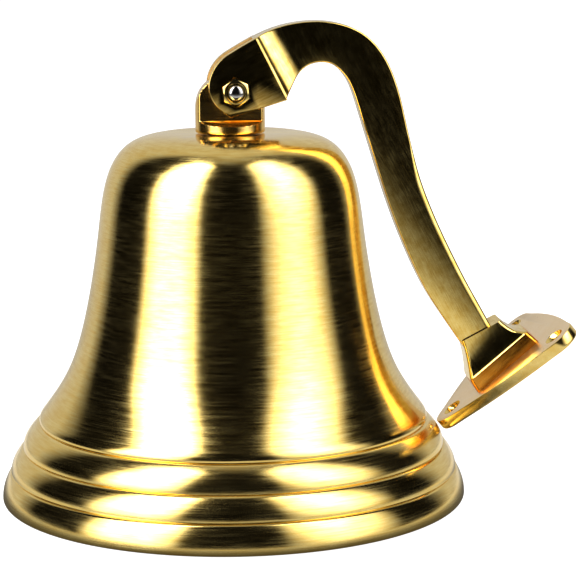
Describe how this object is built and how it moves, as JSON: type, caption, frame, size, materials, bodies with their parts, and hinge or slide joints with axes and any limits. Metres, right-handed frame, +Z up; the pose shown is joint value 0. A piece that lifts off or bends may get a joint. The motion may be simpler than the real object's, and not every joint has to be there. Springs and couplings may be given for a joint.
{
  "type": "ship bell",
  "caption": "Turned brass bell with stepped rings, an inner swinging clapper and a forked wall bracket that pivots on its crown lug.",
  "frame": {"origin": "middle of the whole object's footprint, on the plane that the bell's mouth stands on", "axes": "+Z up along the bell's axis, which stands at X = -17.5 mm; +X from the bell towards the bracket's flange, in the plane that the bracket swings in; +Y along the pivot bolt, away from the nut"},
  "size_m": [0.1876, 0.1526, 0.1552],
  "materials": {
    "bell_brass": "satin, fine circumferential brushing",
    "lug_brass": "polished",
    "clapper_brass": "turned, lightly polished",
    "bracket_brass": "cast, linished faces and satin flange",
    "nut_brass": "machined",
    "plated_steel": "bright plated"
  },
  "bodies": {
    "bell": {"bell_shell": "bell_brass", "crown_lug": "lug_brass", "crown_washer": "plated_steel", "crown_nut": "plated_steel", "clapper_hanger": "clapper_brass"},
    "bracket": {"wall_bracket": "bracket_brass", "pivot_bolt": "plated_steel", "pivot_nut": "nut_brass"},
    "link": {"clapper_link": "clapper_brass"},
    "clapper": {"clapper_rod": "clapper_brass", "clapper_ball": "clapper_brass", "lanyard_eye": "clapper_brass"}
  },
  "joints": [
    {"name": "bracket_pivot", "type": "hinge", "parent": "bell", "child": "bracket", "pos_m": [-0.016, 0, 0.133], "axis": [0, -1, 0], "range_deg": [0, 94]},
    {"name": "link_swing", "type": "hinge", "parent": "bell", "child": "link", "pos_m": [-0.0175, 0, 0.0902], "axis": [1, 0, 0], "range_deg": [-8, 8]},
    {"name": "clapper_swing", "type": "hinge", "parent": "link", "child": "clapper", "pos_m": [-0.0175, 0, 0.0806], "axis": [0, 1, 0], "range_deg": [-39.5, 39.5]}
  ]
}
